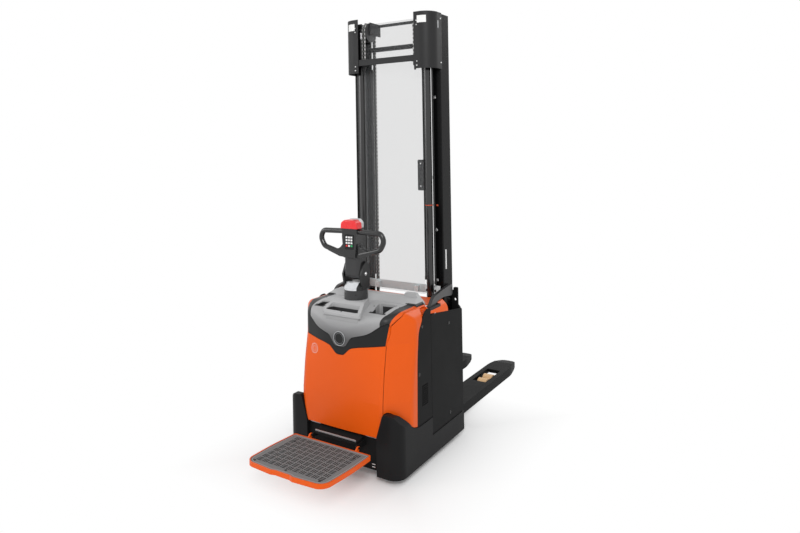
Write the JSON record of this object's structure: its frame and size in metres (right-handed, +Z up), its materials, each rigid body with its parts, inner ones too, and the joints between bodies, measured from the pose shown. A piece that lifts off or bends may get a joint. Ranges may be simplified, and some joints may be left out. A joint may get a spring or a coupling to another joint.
{
  "type": "ride-on stacker",
  "caption": "Battery stacker with fold-down rider platform, tiller, two-stage mast, lifting forks nested over support legs, drive wheel, castor and tandem load rollers.",
  "frame": {"origin": "centre of the footprint on the floor", "axes": "+Z up, +Y towards the fork tips, +X to the rider's right when facing the forks"},
  "size_m": [0.788, 2.4597, 2.656],
  "materials": {
    "band_dark": "smooth dark grey moulding",
    "battery_case": "battery box",
    "chain_steel": "oiled chain plates",
    "clear_sheet": "clear polycarbonate",
    "console_grey": "fine-grained grey moulding",
    "cowl_plastic": "grained black moulding",
    "dark_paint": "satin charcoal powder coat",
    "handle_black": "soft-touch black moulding",
    "mast_black": "semi-gloss black paint",
    "mat_rubber": "ribbed grey rubber",
    "orange_paint": "satin orange powder coat",
    "red_plastic": "smooth red moulding",
    "roller_tan": "tan polyurethane",
    "steel": "ground steel",
    "wheel_black": "black rubber tread on a steel hub"
  },
  "bodies": {
    "chassis": {"cowling_right": "cowl_plastic", "cowling_left": "cowl_plastic", "front_bulkhead": "dark_paint", "drive_deck": "dark_paint", "mid_bulkhead": "dark_paint", "battery_floor": "dark_paint", "battery": "battery_case", "mast_base": "mast_black", "front_panel": "orange_paint", "console_band": "band_dark", "hood_frame": "dark_paint", "console": "console_grey", "hood_side_right": "orange_paint", "hood_side_left": "orange_paint", "rear_deck": "orange_paint", "vent_panels": "dark_paint", "battery_doors": "dark_paint", "mast_brackets": "dark_paint", "grab_handles": "dark_paint", "step_ledge": "dark_paint", "outer_rail_right": "mast_black", "outer_rail_left": "mast_black", "mast_cover_right": "mast_black", "mast_cover_left": "mast_black", "anchor_bar": "mast_black", "anchor_chains": "chain_steel", "mast_guard": "clear_sheet", "guard_bar": "mast_black", "lift_cylinders": "mast_black", "cable_plate": "mast_black", "support_leg_right": "dark_paint", "support_leg_left": "dark_paint", "roller_bogies": "dark_paint", "tiller_drum": "band_dark", "platform_hinge": "dark_paint"},
    "mast_stage": {"inner_rail_right": "mast_black", "inner_rail_left": "mast_black", "mast_crossbars": "mast_black", "chain_sheaves": "steel", "lift_rods": "steel", "chain_crowns": "chain_steel", "carriage_chains": "chain_steel"},
    "carriage": {"fork_carriage": "mast_black", "fork_right": "dark_paint", "fork_left": "dark_paint"},
    "drive_unit": {"drive_unit": "mast_black"},
    "drive_wheel": {"drive_wheel": "wheel_black"},
    "castor_fork": {"castor_fork": "mast_black"},
    "castor_wheel": {"castor_wheel": "wheel_black"},
    "tiller_turret": {"tiller_turret": "handle_black"},
    "tiller_arm": {"tiller_arm": "handle_black", "tiller_handle": "handle_black", "reverse_button": "red_plastic", "keypad": "band_dark"},
    "platform": {"platform_pan": "orange_paint", "platform_mat": "mat_rubber"},
    "load_roller_near_right": {"load_roller_near_right": "roller_tan"},
    "load_roller_near_left": {"load_roller_near_left": "roller_tan"},
    "load_roller_far_right": {"load_roller_far_right": "roller_tan"},
    "load_roller_far_left": {"load_roller_far_left": "roller_tan"}
  },
  "joints": [
    {"name": "drive_steer", "type": "hinge", "parent": "chassis", "child": "drive_unit", "pos_m": [-0.258, -0.572, 0.27], "axis": [0, 0, 1], "range_deg": [-90, 90]},
    {"name": "drive_spin", "type": "hinge", "parent": "drive_unit", "child": "drive_wheel", "pos_m": [-0.258, -0.572, 0.115], "axis": [1, 0, 0], "continuous": true},
    {"name": "castor_swivel", "type": "hinge", "parent": "chassis", "child": "castor_fork", "pos_m": [0.262, -0.586, 0.17], "axis": [0, 0, 1], "continuous": true},
    {"name": "castor_spin", "type": "hinge", "parent": "castor_fork", "child": "castor_wheel", "pos_m": [0.262, -0.548, 0.075], "axis": [1, 0, 0], "continuous": true},
    {"name": "load_roller_near_right_spin", "type": "hinge", "parent": "chassis", "child": "load_roller_near_right", "pos_m": [0.192, 0.731, 0.0425], "axis": [1, 0, 0], "continuous": true},
    {"name": "load_roller_far_right_spin", "type": "hinge", "parent": "chassis", "child": "load_roller_far_right", "pos_m": [0.192, 0.825, 0.0425], "axis": [1, 0, 0], "continuous": true},
    {"name": "load_roller_near_left_spin", "type": "hinge", "parent": "chassis", "child": "load_roller_near_left", "pos_m": [-0.192, 0.731, 0.0425], "axis": [1, 0, 0], "continuous": true},
    {"name": "load_roller_far_left_spin", "type": "hinge", "parent": "chassis", "child": "load_roller_far_left", "pos_m": [-0.192, 0.825, 0.0425], "axis": [1, 0, 0], "continuous": true},
    {"name": "tiller_steer", "type": "hinge", "parent": "chassis", "child": "tiller_turret", "pos_m": [0, -0.574, 1.012], "axis": [0, 0, 1], "range_deg": [-90, 90]},
    {"name": "tiller_tilt", "type": "hinge", "parent": "tiller_turret", "child": "tiller_arm", "pos_m": [0, -0.574, 1.09], "axis": [1, 0, 0], "range_deg": [0, 70], "stiffness_Nm_per_rad": 30, "springref_deg": -34.38},
    {"name": "platform_fold", "type": "hinge", "parent": "chassis", "child": "platform", "pos_m": [0, -0.802, 0.192], "axis": [-1, 0, 0], "range_deg": [0, 88]},
    {"name": "mast_lift", "type": "slide", "parent": "chassis", "child": "mast_stage", "axis": [0, 0, 1], "range_m": [0, 1.95], "deforming": ["anchor_chains"]},
    {"name": "carriage_lift", "type": "slide", "parent": "mast_stage", "child": "carriage", "axis": [0, 0, 1], "range_m": [0, 1.95], "deforming": ["carriage_chains"]}
  ],
  "couplings": [
    {"joint": "tiller_steer", "follows": "drive_steer", "ratio": 1},
    {"joint": "carriage_lift", "follows": "mast_lift", "ratio": 1}
  ]
}
